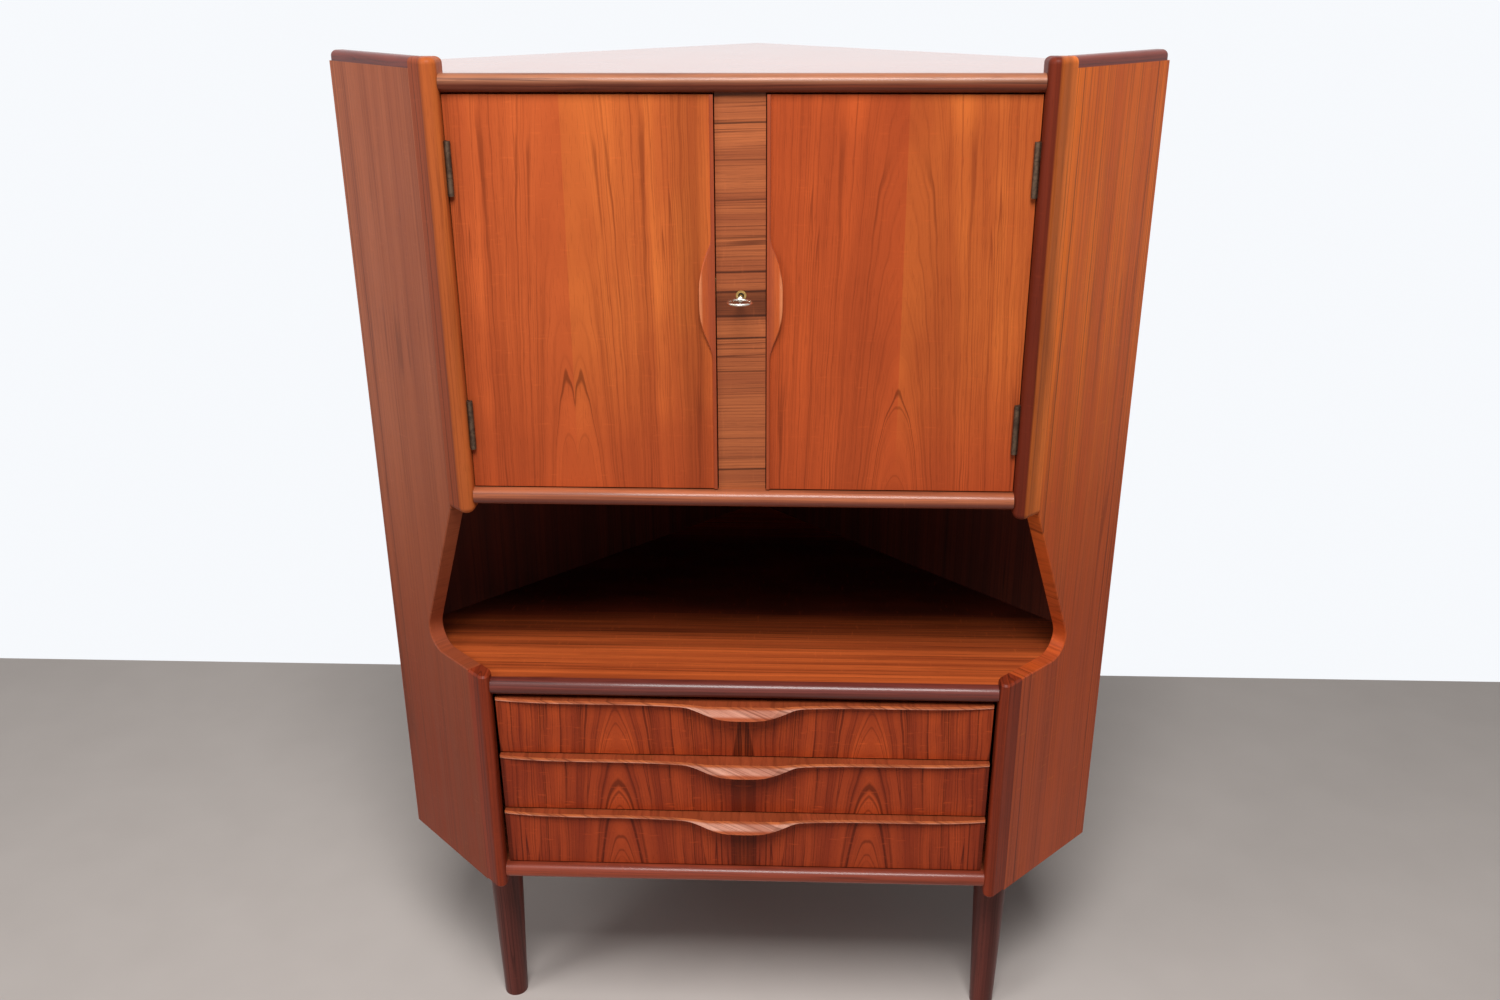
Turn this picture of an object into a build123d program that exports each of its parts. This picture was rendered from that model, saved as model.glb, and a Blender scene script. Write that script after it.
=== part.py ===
"""Corner cabinet in the Danish manner: a two-door cupboard over an open niche and three drawers.

Millimetres, +Z up, the front towards -Y. The origin lies on the floor, in the middle of the
cabinet's width and of its whole depth, from the key's bow to the room corner behind.
"""
import os
from math import hypot

from build123d import *

os.makedirs("parts", exist_ok=True)

# Overall sizes, with the wings at 45 degrees to the front and square to the walls
cabinet_height = 1365.0
wall_side = 695.0
wing_depth = 211.0
wing_thickness = 21.0
back_thickness = 14.0
root2 = hypot(1, 1)

# Wings: notch beside the niche, and the rounded lipping along the top
wing_drop = 11.0
wing_rise = 17.0
sill_rise = 9.0
notch_lean_share = 0.452
notch_radius = 28.0
notch_edge_bevel = 1.2
wing_lip_height = 12.0
top_rounding = 7.0

# Posts beside the doors, and the lippings beside the drawers: each comes in from the wing
post_inset = 15.0
post_nose_share = 0.7
post_joint = 27.0
post_foot_drop = 11.0
post_foot_radius = 8.0
front_lip_inset = 14.6
front_lip_nose_share = 0.55
front_lip_joint = 22.0
front_lip_end_bevel = 2.5

# Boards, each with a round-nosed solid lipping along its front
top_thickness = 20.0
top_setback = 6.0
floor_surface = 866.0
floor_thickness = 20.0
floor_setback = 3.0
worktop_surface = 601.0
worktop_thickness = 22.0
worktop_setback = 1.0
base_surface = 310.0
base_thickness = 21.0
base_setback = 2.0
lipping_depth = 14.0

# Doors and the stile between them
door_setback = 15.0
door_thickness = 19.0
door_side_gap = 1.0
door_end_gap = 1.8
stile_half = 28.2
stile_setback = 17.0
stile_gap = 1.3
stop_gap = 0.5
stop_half = 43.0
stop_thickness = 12.0

# Key, as a share of the cupboard's height
handle_share = 0.5173

# Carved lip along each door's free edge, which swells into a pull beside the key
door_lip_width = 4.1
door_lip_rise = 2.5
door_pull_width = 18.3
door_pull_half_length = 75.0
door_pull_drop = 3.0
door_pull_rise = 8.5
door_pull_hollow = 1.0
door_pull_undercut = 2.5
door_pull_crest = 3.5
door_pull_bevel = 1.2

# Outline of every carved pull, from its end to its middle: shares of half length and of swell
pull_outline_shares = ((0.74, 0.27), (0.45, 0.79), (0.18, 0.985))

# Butt hinges: three knuckles round one pin
hinge_height = 60.0
hinge_inset = 51.0
knuckle_radius = 3.5
hinge_gap = 0.3
leaf_thickness = 1.2
leaf_width = 18.0
pin_radius = 1.5
hinge_recess_gap = 0.4

# Drawers
drawer_count = 3
drawer_gap = 2.0
drawer_top_gap = 5.0
drawer_end_gap = 4.2
front_back = 32.0
face_top_setback = 9.0
face_bottom_setback = 13.5
drawer_lip_height = 4.5
drawer_lip_setback = 8.0
drawer_lip_bow = 10.0
drawer_pull_swell = 9.0
drawer_pull_drop = 19.0
drawer_pull_flare = 4.5
drawer_pull_edge = 3.0
drawer_pull_hollow = 0.8
drawer_pull_half_length = 82.0
drawer_rear_gap = 26.8
drawer_side_thickness = 13.0
drawer_side_height = 62.0
drawer_side_lift = 9.0
drawer_back_thickness = 12.0
drawer_back_drop = 6.0
drawer_bottom_thickness = 4.0
drawer_bottom_lift = 8.0
drawer_groove_depth = 5.0
groove_clearance = 0.2
dovetail_depth = 7.0
dovetail_root = 6.0
dovetail_tip = 10.0

# Partitions and runners that carry the drawers
partition_inset = 27.6
partition_thickness = 16.0
partition_setback = 34.0
runner_reach = 7.5
runner_height = 12.0
runner_inset = 4.0
runner_side_gap = 1.0
runner_rest_gap = 0.3
drawer_clearance = 1.5

# Shelf inside the cupboard, on pins
shelf_share = 0.554
shelf_thickness = 16.0
shelf_setback = 72.0
shelf_clearance = 1.5
shelf_pin_radius = 2.5
shelf_pin_reach = 11.0
shelf_pin_depth = 8.0
shelf_pin_wing_share = 0.55
shelf_pin_back_share = 0.45

# Legs
leg_top_radius = 25.6
leg_foot_radius = 16.8
front_leg_share = 0.7224
front_leg_setback = 108.0
rear_leg_corner_gap = 85.6

# Lock in the stile: case, cam and two bolts that run out into the doors
case_half_width = 24.0
case_half_height = 14.0
case_front = 22.0
case_wall = 1.5
case_plate_half_width = 30.0
case_plate_half_height = 24.0
case_plate_thickness = 2.0
case_gap = 0.3
bolt_throw = 8.0
bolt_inset = 0.6
bolt_low = 3.4
bolt_height = 7.0
bolt_front = 25.0
bolt_thickness = 6.0
bolt_tail = 4.0
bolt_gap = 0.15
bolt_slot_gap = 0.35
strike_gap = 0.8
strike_depth = 8.5
cam_radius = 8.0
cam_front = 33.0
cam_thickness = 3.0
cam_pin_radius = 1.75
cam_stub_radius = 2.5
cam_stub_length = 5.0
cam_gap = 0.5

# Key, and the eyelet round its hole
key_shank_radius = 2.0
key_bit_reach = 3.2
key_bit_thickness = 1.4
key_neck_reach = 21.0
key_collar_radius = 3.4
key_collar_length = 3.0
key_bow_length = 27.0
key_bow_width = 31.0
key_bow_thickness = 3.2
key_bow_corner_share = 0.8
key_bow_wire = 5.5
eyelet_radius = 6.0
eyelet_rise = 0.9
keyhole_radius = 3.4

# Radial clearance of every pin in its bore, and how far each cut passes the face it opens
pin_clearance = 0.05
overrun = 1.0

# Places that follow. Every value named *_setback is a distance behind the front plane.
corner_depth = (wall_side + wing_depth) / root2
wing_line = (wall_side - wing_depth) / root2
inner_wing_line = wing_line - wing_thickness * root2
cupboard_half = wing_line - post_inset
drawer_half = wing_line - front_lip_inset
inner_corner_depth = corner_depth - back_thickness * root2
key_reach = key_neck_reach + key_bow_length - stile_setback
front = (key_reach - corner_depth) / 2
post_back = (post_joint + wing_thickness) / root2
stop_front = door_setback + door_thickness + stop_gap
stop_back = stop_front + stop_thickness
top_surface = cabinet_height - wing_rise
top_underside = top_surface - top_thickness
floor_underside = floor_surface - floor_thickness
worktop_underside = worktop_surface - worktop_thickness
base_underside = base_surface - base_thickness
cupboard_height = top_underside - floor_surface
handle_height = floor_surface + cupboard_height * handle_share
notch_sill = worktop_surface + sill_rise
post_bottom = floor_underside - post_foot_drop
wing_bottom = base_underside - wing_drop
wing_plane = Plane(origin=(wing_line, front, 0), x_dir=(1, 1, 0), z_dir=(1, -1, 0))
wing_inside = wing_plane.offset(-wing_thickness)
back_inside = Plane(
    origin=(0, front + inner_corner_depth, 0), x_dir=(-1, 1, 0), z_dir=(1, 1, 0)
)
along_wing = Axis((0, 0, 0), (1, 1, 0))
across_wing = Axis((0, 0, 0), (-1, 1, 0))


def save(piece, label):
    """Name a finished piece and write it to its own file."""
    piece.label = label
    export_step(piece, f"parts/{label}.step")


def save_pair(piece, name):
    """Write a right-hand piece, and its mirror image for the left."""
    save(piece, f"right_{name}")
    with BuildPart() as other_hand:
        mirror(piece, about=Plane.YZ)
    save(other_hand.part, f"left_{name}")


def block(x, setback, z, mode=Mode.ADD):
    """Box between two values of X, two distances behind the front plane and two heights."""
    middle = ((x[0] + x[1]) / 2, front + (setback[0] + setback[1]) / 2, (z[0] + z[1]) / 2)
    with Locations(middle):
        Box(abs(x[1] - x[0]), abs(setback[1] - setback[0]), abs(z[1] - z[0]), mode=mode)


def rod(radius, setback, mode=Mode.ADD, places=((0, handle_height),)):
    """Round bars that run back between two distances behind the front plane."""
    with BuildSketch(Plane.XZ.offset(-front - setback[0])) as ends:
        with Locations(*places):
            Circle(radius)
    extrude(ends.sketch, amount=setback[0] - setback[1], mode=mode)


def outline(plane, *points):
    """Straight-sided outline on a plane."""
    with BuildSketch(plane) as shape:
        with BuildLine():
            Polyline(*points, close=True)
        make_face()
    return shape.sketch


def wedge(level, setback, wing_x, wall):
    """Plan between the wings and the walls: widens with the wings, then narrows to the corner."""
    side = ((wing_x + wall) / 2, front + (wall - wing_x) / 2)
    with BuildSketch(Plane.XY.offset(level)) as plan:
        with BuildLine():
            Polyline(
                (0, front + setback),
                (wing_x + setback, front + setback),
                side,
                (0, front + wall),
                close=True,
            )
        make_face()
        mirror(about=Plane.YZ)
    return plan.sketch


def front_piece(level, half, nose_share, joint, inner_corner):
    """Plan of a solid front edge, with a nose from the opening's side to the wing's outside."""
    radius = (wing_line - half) * nose_share
    nose_x = half + radius
    nose_y = front + nose_x - wing_line + radius * root2
    step = joint / root2
    turn = wing_thickness / root2
    with BuildSketch(Plane.XY.offset(level)) as plan:
        with BuildLine():
            nose = CenterArc((nose_x, nose_y), radius, 180, 135)
            Polyline(
                nose @ 1,
                (wing_line + step, front + step),
                (wing_line + step - turn, front + step + turn),
                (half, front + inner_corner),
                nose @ 0,
            )
        make_face()
    return plan.sketch


def save_lipping(label, surface, thickness, setback, half):
    """Write a board's front lipping, which has a full round nose."""
    radius = thickness / 2
    nose_y = front + setback + radius
    back_y = front + setback + lipping_depth
    with BuildPart() as lipping:
        with BuildSketch(Plane.YZ):
            with BuildLine():
                nose = CenterArc((nose_y, surface - radius), radius, 90, 180)
                Polyline(nose @ 1, (back_y, surface - thickness), (back_y, surface), nose @ 0)
            make_face()
        extrude(amount=half, both=True)
    save(lipping.part, label)


def pull_edge(half_length, swell):
    """Points along a carved pull's free edge: distance along it, and how far it swells."""
    lead = [(-half_length, 0)]
    lead += [(-half_length * along, swell * out) for along, out in pull_outline_shares]
    return lead + [(0, swell)] + [(-along, out) for along, out in reversed(lead)]


# Wing panels: one veneered board each, cut away beside the niche
notch_corner = post_joint + (post_bottom - notch_sill) * notch_lean_share
shelf_level = floor_surface + cupboard_height * shelf_share
shelf_pin_level = shelf_level - shelf_pin_radius
wing_pin = (wing_depth * shelf_pin_wing_share, shelf_pin_level)
with BuildPart() as right_wing:
    with BuildSketch(wing_plane):
        with BuildLine():
            Polyline(
                (front_lip_joint, wing_bottom),
                (wing_depth, wing_bottom),
                (wing_depth, cabinet_height - wing_lip_height),
                (post_joint, cabinet_height - wing_lip_height),
                (post_joint, post_bottom),
                (notch_corner, notch_sill),
                (front_lip_joint, notch_sill),
                close=True,
            )
        make_face()
        fillet(vertices().sort_by_distance((notch_corner, notch_sill))[0], notch_radius)
    extrude(amount=-wing_thickness)
    notch = edges().filter_by_position(Axis.Z, notch_sill, post_bottom)
    notch = notch.filter_by(across_wing, reverse=True).filter_by(Axis.Z, reverse=True)
    chamfer(notch, notch_edge_bevel)
    with BuildSketch(wing_inside):
        with Locations(wing_pin):
            Circle(shelf_pin_radius + pin_clearance)
    extrude(amount=shelf_pin_depth, mode=Mode.SUBTRACT)
save_pair(right_wing.part, "wing")

# Lippings along the tops of the wings, rounded over on both sides and at the wall
with BuildPart() as right_wing_lip:
    with BuildSketch(wing_plane):
        with Locations(((post_joint + wing_depth) / 2, cabinet_height - wing_lip_height / 2)):
            Rectangle(wing_depth - post_joint, wing_lip_height)
    extrude(amount=-wing_thickness)
    top_ends = edges().filter_by(across_wing).group_by(Axis.Z)[-1]
    fillet(top_ends.sort_by(Axis.Y)[-1], top_rounding)
    long_faces = faces().sort_by(across_wing)
    rims = long_faces[0].edges() + long_faces[-1].edges()
    fillet(rims.filter_by_position(Axis.Z, cabinet_height - overrun, cabinet_height), top_rounding)
save_pair(right_wing_lip.part, "wing_top_lipping")

# Posts: solid front edges beside the doors, domed on top and rounded underneath
with BuildPart() as right_post:
    extrude(
        front_piece(post_bottom, cupboard_half, post_nose_share, post_joint, post_back),
        amount=cabinet_height - post_bottom,
    )
    crown = edges().group_by(Axis.Z)[-1].filter_by(across_wing, reverse=True)
    fillet(crown, top_rounding)
    foot = edges().group_by(Axis.Z)[0].filter_by(across_wing, reverse=True)
    fillet(foot, post_foot_radius)
save_pair(right_post.part, "post")

# Solid front edges of the wings beside the drawers
with BuildPart() as right_front_lip:
    extrude(
        front_piece(
            wing_bottom,
            drawer_half,
            front_lip_nose_share,
            front_lip_joint,
            drawer_half - inner_wing_line,
        ),
        amount=notch_sill - wing_bottom,
    )
    rims = edges().group_by(Axis.Z)[0] + edges().group_by(Axis.Z)[-1]
    seams = rims.filter_by(across_wing) + rims.filter_by(along_wing).sort_by(across_wing)[-2:]
    chamfer([rim for rim in rims if rim not in seams], front_lip_end_bevel)
save_pair(right_front_lip.part, "front_lipping")

# Back panels, mitred where they meet in the room corner
back_pin = (-wall_side * shelf_pin_back_share, shelf_pin_level)
with BuildPart() as right_back:
    extrude(
        outline(
            Plane.XY.offset(base_underside),
            (0, front + inner_corner_depth),
            (0, front + corner_depth),
            (
                (corner_depth + inner_wing_line) / 2,
                front + (corner_depth - inner_wing_line) / 2,
            ),
            (
                (inner_corner_depth + inner_wing_line) / 2,
                front + (inner_corner_depth - inner_wing_line) / 2,
            ),
        ),
        amount=top_underside - base_underside,
    )
    with BuildSketch(back_inside):
        with Locations(back_pin):
            Circle(shelf_pin_radius + pin_clearance)
    extrude(amount=shelf_pin_depth, mode=Mode.SUBTRACT)
save_pair(right_back.part, "back_panel")

# Top board, over the back panels and a little below the tops of the wings
with BuildPart() as top_board:
    extrude(
        wedge(top_underside, post_back, inner_wing_line, corner_depth), amount=top_thickness
    )
    block(
        (-cupboard_half, cupboard_half),
        (top_setback + lipping_depth, post_back),
        (top_underside, top_surface),
    )
save(top_board.part, "top_board")
save_lipping("top_lipping", top_surface, top_thickness, top_setback, cupboard_half)

# Cupboard floor, which roofs the niche
with BuildPart() as cupboard_floor:
    extrude(
        wedge(floor_underside, post_back, inner_wing_line, inner_corner_depth),
        amount=floor_thickness,
    )
    block(
        (-cupboard_half, cupboard_half),
        (floor_setback + lipping_depth, post_back),
        (floor_underside, floor_surface),
    )
save(cupboard_floor.part, "cupboard_floor")
save_lipping(
    "cupboard_floor_lipping", floor_surface, floor_thickness, floor_setback, cupboard_half
)

# Worktop of the niche
with BuildPart() as worktop:
    worktop_front = worktop_setback + lipping_depth
    extrude(
        wedge(worktop_underside, worktop_front, inner_wing_line, inner_corner_depth),
        amount=worktop_thickness,
    )
save(worktop.part, "worktop")
save_lipping("worktop_lipping", worktop_surface, worktop_thickness, worktop_setback, drawer_half)

# Base board under the drawers
with BuildPart() as base_board:
    base_front = base_setback + lipping_depth
    extrude(
        wedge(base_underside, base_front, inner_wing_line, inner_corner_depth),
        amount=base_thickness,
    )
save(base_board.part, "base_board")
save_lipping("base_lipping", base_surface, base_thickness, base_setback, drawer_half)

# Turned legs, tapered to the floor
with BuildPart() as leg:
    Cone(
        leg_foot_radius,
        leg_top_radius,
        base_underside,
        align=(Align.CENTER, Align.CENTER, Align.MIN),
    )
front_leg_x = wall_side / root2 * front_leg_share
leg_y = front + front_leg_setback
save(leg.part.moved(Location((-front_leg_x, leg_y, 0))), "left_leg")
save(leg.part.moved(Location((front_leg_x, leg_y, 0))), "right_leg")
save(leg.part.moved(Location((0, front + corner_depth - rear_leg_corner_gap, 0))), "rear_leg")

# Partitions beside the drawers, cut at 45 degrees where they meet the back panels
partition_face = drawer_half - partition_inset
with BuildPart() as right_partition:
    outer_face = partition_face + partition_thickness
    extrude(
        outline(
            Plane.XY.offset(base_surface),
            (partition_face, front + partition_setback),
            (outer_face, front + partition_setback),
            (outer_face, front + inner_corner_depth - outer_face),
            (partition_face, front + inner_corner_depth - partition_face),
        ),
        amount=worktop_underside - base_surface,
    )
save_pair(right_partition.part, "partition")

# Heights of the lowest drawer, and how far each drawer stands above it
drawer_pitch = (worktop_underside - base_surface - drawer_top_gap) / drawer_count
drawer_low = base_surface + drawer_gap
drawer_high = drawer_low + drawer_pitch - drawer_gap
drawer_lifts = dict(zip(("bottom", "middle", "top"), (0, drawer_pitch, 2 * drawer_pitch)))
side_low = drawer_low + drawer_side_lift
side_high = side_low + drawer_side_height
runner_low = (side_low + side_high - runner_height) / 2
runner_high = runner_low + runner_height
runner_front = partition_setback + runner_inset
drawer_back = inner_corner_depth - partition_face - drawer_rear_gap

# Wooden runners on the partitions
with BuildPart() as drawer_runners:
    for lift in drawer_lifts.values():
        block(
            (partition_face - runner_reach, partition_face),
            (runner_front, drawer_back),
            (runner_low + lift, runner_high + lift),
        )
    mirror(about=Plane.YZ)
save(drawer_runners.part, "drawer_runners")


def save_drawer_piece(piece, name):
    """Write the same piece for each of the three drawers."""
    for drawer, lift in drawer_lifts.items():
        save(piece.moved(Location((0, 0, lift))), f"{drawer}_drawer_{name}")


def dovetail(level):
    """Plan of the dovetailed tongue at the front end of a drawer's right side."""
    middle = side_inner + drawer_side_thickness / 2
    root_y = front + front_back
    tip_y = root_y - dovetail_depth
    return outline(
        Plane.XY.offset(level),
        (middle - dovetail_root / 2, root_y),
        (middle - dovetail_tip / 2, tip_y),
        (middle + dovetail_tip / 2, tip_y),
        (middle + dovetail_root / 2, root_y),
    )


# Drawer fronts: boards whose face leans back towards the bottom, housed for the sides
side_outer = partition_face - drawer_clearance
side_inner = side_outer - drawer_side_thickness
drawer_front_half = drawer_half - drawer_end_gap
lip_low = drawer_high - drawer_lip_height
bottom_low = side_low + drawer_bottom_lift
bottom_high = bottom_low + drawer_bottom_thickness
groove = (bottom_low - groove_clearance, bottom_high + groove_clearance)
groove_reach = side_inner + drawer_groove_depth
with BuildPart() as drawer_front:
    with BuildSketch(Plane.YZ):
        with BuildLine():
            Polyline(
                (front + face_bottom_setback, drawer_low),
                (front + face_top_setback, lip_low),
                (front + front_back, lip_low),
                (front + front_back, drawer_low),
                close=True,
            )
        make_face()
    extrude(amount=drawer_front_half, both=True)
    block(
        (-groove_reach, groove_reach),
        (front_back - drawer_groove_depth, front_back + overrun),
        groove,
        Mode.SUBTRACT,
    )
    housing = extrude(
        dovetail(drawer_low), amount=side_high - drawer_low, mode=Mode.SUBTRACT
    )
    mirror(housing, about=Plane.YZ, mode=Mode.SUBTRACT)
save_drawer_piece(drawer_front.part, "front")

# Solid lip along the top of each drawer front: it bows forward to its middle, where it swells
# forward and down into a carved hanging pull
tip_y = front + drawer_lip_setback - drawer_lip_bow - drawer_pull_swell
lip_swell = pull_edge(drawer_pull_half_length, 1)
with BuildPart() as drawer_lip:
    with BuildSketch(Plane.XZ.offset(overrun - tip_y)):
        drop = drawer_pull_drop - drawer_lip_height
        with BuildLine():
            carved = Spline(
                *[(along, lip_low - drop * share) for along, share in lip_swell],
                tangents=((1, 0), (1, 0)),
            )
            Polyline(
                carved @ 1,
                (drawer_front_half, lip_low),
                (drawer_front_half, drawer_high),
                (-drawer_front_half, drawer_high),
                (-drawer_front_half, lip_low),
                carved @ 0,
            )
        make_face()
    extrude(amount=tip_y - overrun - front - front_back)
    tip_level = drawer_high - drawer_pull_drop - overrun
    with BuildSketch(Plane.XY.offset(tip_level)):
        lip_end_y = front + drawer_lip_setback
        quarter = (drawer_front_half + drawer_pull_half_length) / 2
        plan_edge = [(-drawer_front_half, 0), (-quarter, 0)]
        plan_edge += lip_swell + [(quarter, 0), (drawer_front_half, 0)]
        with BuildLine():
            bowed = Spline(
                *[
                    (
                        along,
                        lip_end_y
                        - drawer_lip_bow * (1 - (along / drawer_front_half) ** 2)
                        - drawer_pull_swell * share,
                    )
                    for along, share in plan_edge
                ]
            )
            Polyline(
                bowed @ 1,
                (drawer_front_half, front + front_back),
                (-drawer_front_half, front + front_back),
                bowed @ 0,
            )
        make_face()
    extrude(amount=drawer_high - tip_level, mode=Mode.INTERSECT)
    with BuildSketch(Plane.YZ):
        lip_top = (tip_y + drawer_pull_flare, drawer_high)
        tip = (tip_y, tip_level)
        with BuildLine():
            SagittaArc(lip_top, tip, drawer_pull_hollow)
            Polyline(
                tip,
                (tip_y + drawer_pull_edge, tip_level),
                (front + face_top_setback, lip_low),
                (front + front_back, lip_low),
                (front + front_back, drawer_high),
                lip_top,
            )
        make_face()
    extrude(amount=drawer_front_half, both=True, mode=Mode.INTERSECT)
save_drawer_piece(drawer_lip.part, "lip")

# Drawer sides, grooved outside for the runners and inside for the bottom
with BuildPart() as drawer_side:
    block((side_inner, side_outer), (front_back, drawer_back), (side_low, side_high))
    extrude(dovetail(side_low), amount=drawer_side_height)
    block(
        (partition_face - runner_reach - runner_side_gap, side_outer + overrun),
        (runner_front - runner_side_gap, drawer_back + overrun),
        (runner_low - runner_side_gap, runner_high + runner_rest_gap),
        Mode.SUBTRACT,
    )
    block(
        (side_inner - overrun, groove_reach),
        (front_back - dovetail_depth - overrun, drawer_back + overrun),
        groove,
        Mode.SUBTRACT,
    )
save_drawer_piece(drawer_side.part, "right_side")
with BuildPart() as left_drawer_side:
    mirror(drawer_side.part, about=Plane.YZ)
save_drawer_piece(left_drawer_side.part, "left_side")

# Drawer bottoms and backs
with BuildPart() as drawer_bottom:
    block(
        (groove_clearance - groove_reach, groove_reach - groove_clearance),
        (front_back - drawer_groove_depth + groove_clearance, drawer_back),
        (bottom_low, bottom_high),
    )
save_drawer_piece(drawer_bottom.part, "bottom")
with BuildPart() as drawer_back_board:
    block(
        (-side_inner, side_inner),
        (drawer_back - drawer_back_thickness, drawer_back),
        (bottom_high, side_high - drawer_back_drop),
    )
save_drawer_piece(drawer_back_board.part, "back")

# Where the lock's bolts run, on both sides of the stile
case_low = handle_height - case_half_height
case_high = handle_height + case_half_height
bolt_back = bolt_front + bolt_thickness
stile_side = stile_half + stile_gap


def bolt_path(side, x, gap, mode=Mode.SUBTRACT):
    """Passage for the bolt on one side: the left bolt runs over the key, the right one under."""
    middle = handle_height - side * (bolt_low + bolt_height / 2)
    reach = bolt_height / 2 + gap
    block(
        (side * x[0], side * x[1]),
        (bolt_front - gap, bolt_back + gap),
        (middle - reach, middle + reach),
        mode,
    )


# Centre stile between the doors, with the lock's mortise cut from behind
mortise_x = (-case_half_width - case_gap, case_half_width + case_gap)
mortise_z = (case_low - case_gap, case_high + case_gap)
with BuildPart() as centre_stile:
    block((-stile_half, stile_half), (stile_setback, stop_front), (floor_surface, top_underside))
    block(mortise_x, (case_front, stop_front + overrun), mortise_z, Mode.SUBTRACT)
    for side in (-1, 1):
        bolt_path(side, (case_half_width, stile_half + overrun), bolt_gap)
    rod(keyhole_radius, (stile_setback - overrun, case_front + overrun), Mode.SUBTRACT)
save(centre_stile.part, "centre_stile")

# Stop strip behind the stile, which the doors close against, cut out for the lock
with BuildPart() as stop_strip:
    block((-stop_half, stop_half), (stop_front, stop_back), (floor_surface, top_underside))
    block(mortise_x, (stop_front - overrun, stop_back + overrun), mortise_z, Mode.SUBTRACT)
save(stop_strip.part, "stop_strip")


def key_slot(setback, gap, mode):
    """Flat bit across the key, or the slot that it passes through."""
    reach = key_bit_reach + gap
    half = key_bit_thickness / 2 + gap
    block((-reach, reach), setback, (handle_height - half, handle_height + half), mode)


# Lock case, with a back plate over the cut-out in the stop strip
cam_back = cam_front + cam_thickness
with BuildPart() as lock_case:
    block((-case_half_width, case_half_width), (case_front, stop_back), (case_low, case_high))
    block(
        (-case_plate_half_width, case_plate_half_width),
        (stop_back, stop_back + case_plate_thickness),
        (handle_height - case_plate_half_height, handle_height + case_plate_half_height),
    )
    block(
        (case_wall - case_half_width, case_half_width - case_wall),
        (case_front + case_wall, cam_back + cam_gap),
        (case_low + case_wall, case_high - case_wall),
        Mode.SUBTRACT,
    )
    for side in (-1, 1):
        bolt_path(side, (case_half_width - case_wall - overrun, case_half_width + overrun), bolt_gap)
    case_mouth = (case_front - overrun, case_front + case_wall + overrun)
    rod(key_shank_radius + pin_clearance, case_mouth, Mode.SUBTRACT)
    key_slot(case_mouth, pin_clearance, Mode.SUBTRACT)
    rod(cam_stub_radius + pin_clearance, (cam_back, cam_back + cam_gap + cam_stub_length), Mode.SUBTRACT)
save(lock_case.part, "lock_case")

# Lock bolts: each has a slot that one of the cam's pins pushes
slot_middle = bolt_throw / 2
slot_half = cam_pin_radius + bolt_slot_gap
cam_pin_swing = slot_middle * root2
with BuildPart() as left_bolt:
    block(
        (bolt_inset - stile_half, slot_middle + slot_half + bolt_tail),
        (bolt_front, bolt_back),
        (handle_height + bolt_low, handle_height + bolt_low + bolt_height),
    )
    block(
        (slot_middle - slot_half, slot_middle + slot_half),
        (bolt_front - overrun, bolt_back + overrun),
        (handle_height, handle_height + cam_pin_swing + slot_half),
        Mode.SUBTRACT,
    )
save(left_bolt.part, "left_lock_bolt")
key_line = Axis((0, 0, handle_height), (0, -1, 0))
save(left_bolt.part.rotate(key_line, 180), "right_lock_bolt")

# Cam that the key turns
with BuildPart() as lock_cam:
    rod(cam_radius, (cam_front, cam_back))
    rod(cam_stub_radius, (cam_back, cam_back + cam_stub_length))
    pin_places = (
        (slot_middle, handle_height + slot_middle),
        (-slot_middle, handle_height - slot_middle),
    )
    rod(cam_pin_radius, (bolt_front, cam_front), places=pin_places)
    bore = (cam_front - overrun, cam_back)
    rod(key_shank_radius + pin_clearance, bore, Mode.SUBTRACT)
    key_slot(bore, pin_clearance, Mode.SUBTRACT)
save(lock_cam.part, "lock_cam")

# Key, with its bow lying flat as it does while the doors are unlocked
neck_setback = stile_setback - key_neck_reach
bow_middle = neck_setback - key_bow_length / 2
shank_end = cam_back - cam_gap
bow_corner = key_bow_length / 2 * key_bow_corner_share
hole_width = key_bow_width - 2 * key_bow_wire
hole_length = key_bow_length - 2 * key_bow_wire
with BuildPart() as key:
    with BuildSketch(Plane.XY.offset(handle_height - key_bow_thickness / 2)):
        with Locations((0, front + bow_middle)):
            RectangleRounded(key_bow_width, key_bow_length, bow_corner)
            RectangleRounded(hole_width, hole_length, bow_corner - key_bow_wire, mode=Mode.SUBTRACT)
    extrude(amount=key_bow_thickness)
    rod(key_shank_radius, (neck_setback - key_bow_wire / 2, shank_end))
    rod(key_collar_radius, (neck_setback, neck_setback + key_collar_length))
    key_slot((cam_front, shank_end), 0, Mode.ADD)
save(key.part, "key")

# Brass eyelet fixed on the stile round the keyhole
with BuildPart() as eyelet:
    rod(eyelet_radius, (stile_setback - eyelet_rise, stile_setback))
    rod(keyhole_radius, (stile_setback - eyelet_rise - overrun, stile_setback), Mode.SUBTRACT)
save(eyelet.part, "keyhole_eyelet")

# Hinges: the outer knuckles stay on the post, the middle one turns with the door
hinge_levels = (floor_surface + hinge_inset, top_underside - hinge_inset - hinge_height)
hinge_x = cupboard_half - hinge_gap - knuckle_radius
hinge_setback = door_setback - hinge_gap - knuckle_radius
leaf_back = hinge_setback + leaf_width
post_leaf_face = cupboard_half - leaf_thickness
door_leaf_face = post_leaf_face - hinge_gap - leaf_thickness
outer_shares = ((0, 1 / 3), (2 / 3, 1))
middle_shares = ((1 / 3, 2 / 3),)


def hinge_barrel(radius, low, high, mode=Mode.ADD):
    """Round bar on a right-hand hinge's axis, between two heights."""
    with BuildSketch(Plane.XY.offset(low)) as ring:
        with Locations((hinge_x, front + hinge_setback)):
            Circle(radius)
    extrude(ring.sketch, amount=high - low, mode=mode)


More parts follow.
